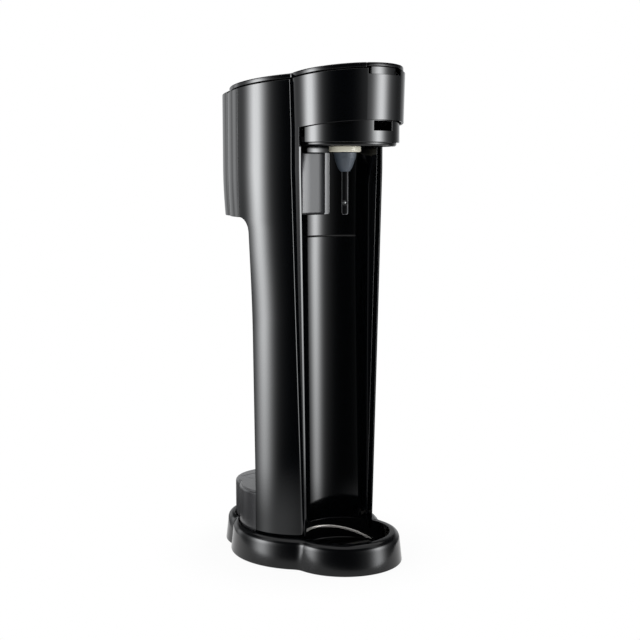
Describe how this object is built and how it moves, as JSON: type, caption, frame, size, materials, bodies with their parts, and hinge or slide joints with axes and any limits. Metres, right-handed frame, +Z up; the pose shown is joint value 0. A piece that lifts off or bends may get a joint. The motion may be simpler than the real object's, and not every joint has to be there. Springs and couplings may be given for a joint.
{
  "type": "soda siphon",
  "caption": "Slim countertop siphon worked by hand: a waisted lobed column with a bottle alcove, a tilting nozzle collar, a press button and a gas cylinder at the back.",
  "frame": {"origin": "middle of the footprint on the floor", "axes": "+Z up the column, -Y the front where the bottle stands, +X to the right seen from the front"},
  "size_m": [0.1364, 0.1874, 0.4251],
  "materials": {
    "gloss_black": "moulded, high gloss",
    "satin_black": "moulded, satin",
    "matte_grey": "moulded, fine grain",
    "cover_grey": "moulded, satin grey",
    "frame_plastic": "glass filled, dull",
    "rubber_black": "soft, matt",
    "steel": "turned or drawn, plain",
    "flask": "drawn, satin",
    "brass": "turned",
    "pale_plastic": "moulded, cream",
    "soft_grey": "soft, bluish grey",
    "pipe_plastic": "drawn tube",
    "dark_plastic": "moulded, smooth"
  },
  "bodies": {
    "housing": {"front_housing": "gloss_black", "rear_hood": "gloss_black", "base_shell": "gloss_black", "base_plate": "satin_black", "foot_pad_1": "rubber_black", "foot_pad_2": "rubber_black", "foot_pad_3": "rubber_black", "foot_pad_4": "rubber_black", "base_screw_1": "steel", "base_screw_2": "steel", "base_screw_3": "steel", "base_screw_4": "steel", "alcove_liner": "gloss_black", "valve_cover": "cover_grey", "rear_foot_block": "matte_grey", "cover_catch_plate": "matte_grey", "top_lid": "gloss_black", "rear_cap": "gloss_black", "mechanism_frame": "frame_plastic", "frame_screw_left": "steel", "frame_screw_right": "steel", "button_pin": "steel", "rocker_pin": "steel", "rocker_spring": "steel", "holder_pivot_pin_left": "steel", "holder_pivot_pin_right": "steel", "gas_pipe": "pipe_plastic", "collar_pivot_pin_left": "steel", "collar_pivot_pin_right": "steel"},
    "tray": {"drip_tray": "satin_black"},
    "button": {"carbonating_button": "gloss_black"},
    "rocker": {"valve_rocker": "frame_plastic"},
    "plunger": {"valve_plunger": "steel"},
    "holder": {"cylinder_holder": "frame_plastic", "holder_seal": "rubber_black"},
    "cylinder": {"gas_cylinder": "flask", "cylinder_valve": "brass"},
    "gas_pin": {"valve_pin": "steel"},
    "collar": {"bottle_collar": "gloss_black", "inner_collar": "satin_black", "nozzle_plate": "satin_black", "relief_valve": "dark_plastic", "nozzle_ring": "pale_plastic", "nozzle_cup": "soft_grey", "nozzle_tube": "dark_plastic"}
  },
  "joints": [
    {"name": "button_press", "type": "hinge", "parent": "housing", "child": "button", "pos_m": [0, -0.0409, 0.41158], "axis": [1, 0, 0], "range_deg": [0, 7], "stiffness_Nm_per_rad": 0.5, "springref_deg": -5.73},
    {"name": "rocker_swing", "type": "hinge", "parent": "housing", "child": "rocker", "pos_m": [0, 0.0551, 0.4005], "axis": [1, 0, 0], "range_deg": [0, 1.8], "deforming": ["rocker_spring"]},
    {"name": "plunger_slide", "type": "slide", "parent": "housing", "child": "plunger", "axis": [0, 0, -1], "range_m": [0, 0.0008]},
    {"name": "valve_pin_slide", "type": "slide", "parent": "cylinder", "child": "gas_pin", "axis": [0, 0, -1], "range_m": [0, 0.0008]},
    {"name": "collar_tilt", "type": "hinge", "parent": "housing", "child": "collar", "pos_m": [0, -0.0489, 0.3805], "axis": [-1, 0, 0], "range_deg": [0, 8]},
    {"name": "holder_tilt", "type": "hinge", "parent": "housing", "child": "holder", "pos_m": [0, 0.0317, 0.3805], "axis": [1, 0, 0], "range_deg": [0, 12]},
    {"name": "cylinder_turn", "type": "hinge", "parent": "holder", "child": "cylinder", "pos_m": [0, 0.0317, 0.36], "axis": [0, 0, 1], "range_deg": [0, 1080]},
    {"name": "tray_lift", "type": "slide", "parent": "housing", "child": "tray", "axis": [0, 0, 1], "range_m": [0, 0.01]}
  ],
  "couplings": [
    {"joint": "rocker_swing", "follows": "button_press", "ratio": 0.25},
    {"joint": "plunger_slide", "follows": "button_press", "m_per_rad": 0.00585},
    {"joint": "valve_pin_slide", "follows": "button_press", "m_per_rad": 0.00585}
  ]
}
